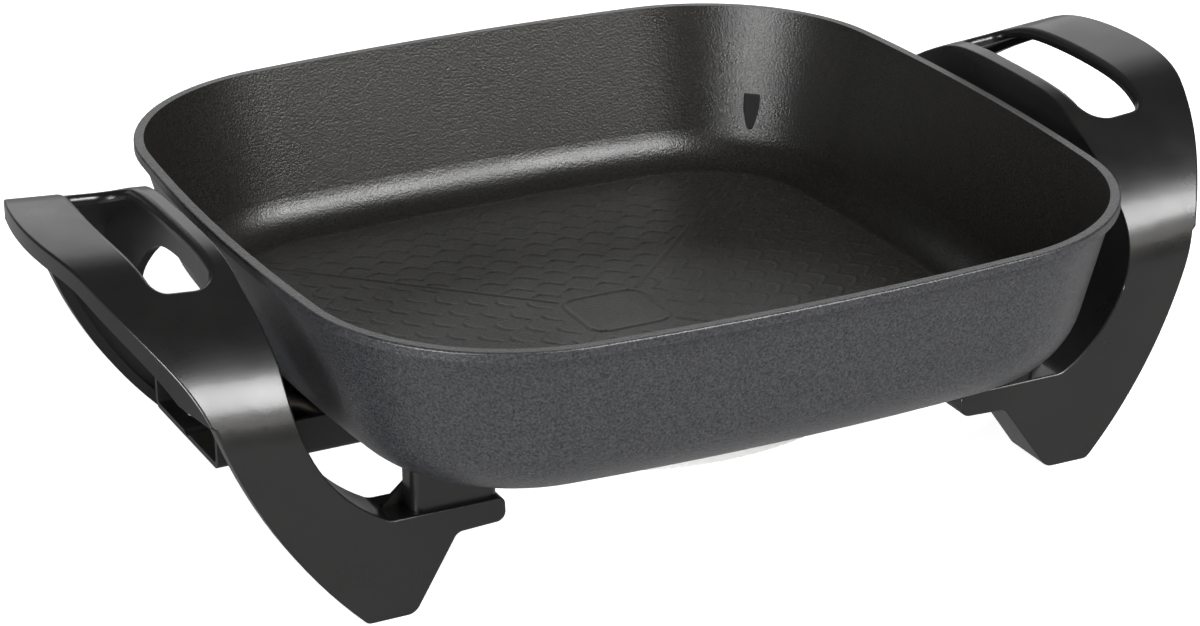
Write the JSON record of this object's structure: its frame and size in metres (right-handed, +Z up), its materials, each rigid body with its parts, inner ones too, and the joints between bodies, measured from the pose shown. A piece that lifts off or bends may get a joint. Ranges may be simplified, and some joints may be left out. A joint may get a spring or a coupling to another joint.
{
  "type": "electric griddle",
  "caption": "Square electric griddle with a deep coated pan, a bare heater plate underneath, two moulded arch handles that end in feet, and a socket for a plug-in temperature control.",
  "frame": {"origin": "on the worktop, under the middle of the pan", "axes": "+X to the right handle, -Y to the front, +Z up; the control socket opens towards -X"},
  "size_m": [0.4272, 0.3, 0.1174],
  "materials": {
    "pan_coating": "cast aluminium with a dark speckled non-stick coating",
    "bare_aluminium": "bare machined casting",
    "element_sheath": "heat-stained tube sheath",
    "pin_metal": "plated terminal pins",
    "insulator_ceramic": "unglazed white ceramic",
    "handle_phenolic": "glossy black moulded phenolic",
    "socket_black": "satin black moulding",
    "fastener_steel": "zinc-plated steel",
    "strap_steel": "stainless spring strip",
    "rating_foil": "blank satin foil plate"
  },
  "bodies": {
    "root": {"pan": "pan_coating", "heater_plate": "bare_aluminium", "heating_element": "element_sheath", "probe_tube": "element_sheath", "terminal_pin_front": "pin_metal", "terminal_pin_back": "pin_metal", "insulator_front": "insulator_ceramic", "insulator_back": "insulator_ceramic", "socket_shroud": "socket_black", "terminal_tray": "socket_black", "tray_screws": "fastener_steel", "earth_strap": "strap_steel", "earth_screw": "fastener_steel", "rating_plate": "rating_foil", "right_handle": "handle_phenolic", "left_handle": "handle_phenolic", "left_handle_screws": "fastener_steel", "left_spring_washers": "fastener_steel", "left_flat_washers": "fastener_steel", "right_handle_screws": "fastener_steel", "right_spring_washers": "fastener_steel", "right_flat_washers": "fastener_steel"}
  },
  "joints": []
}
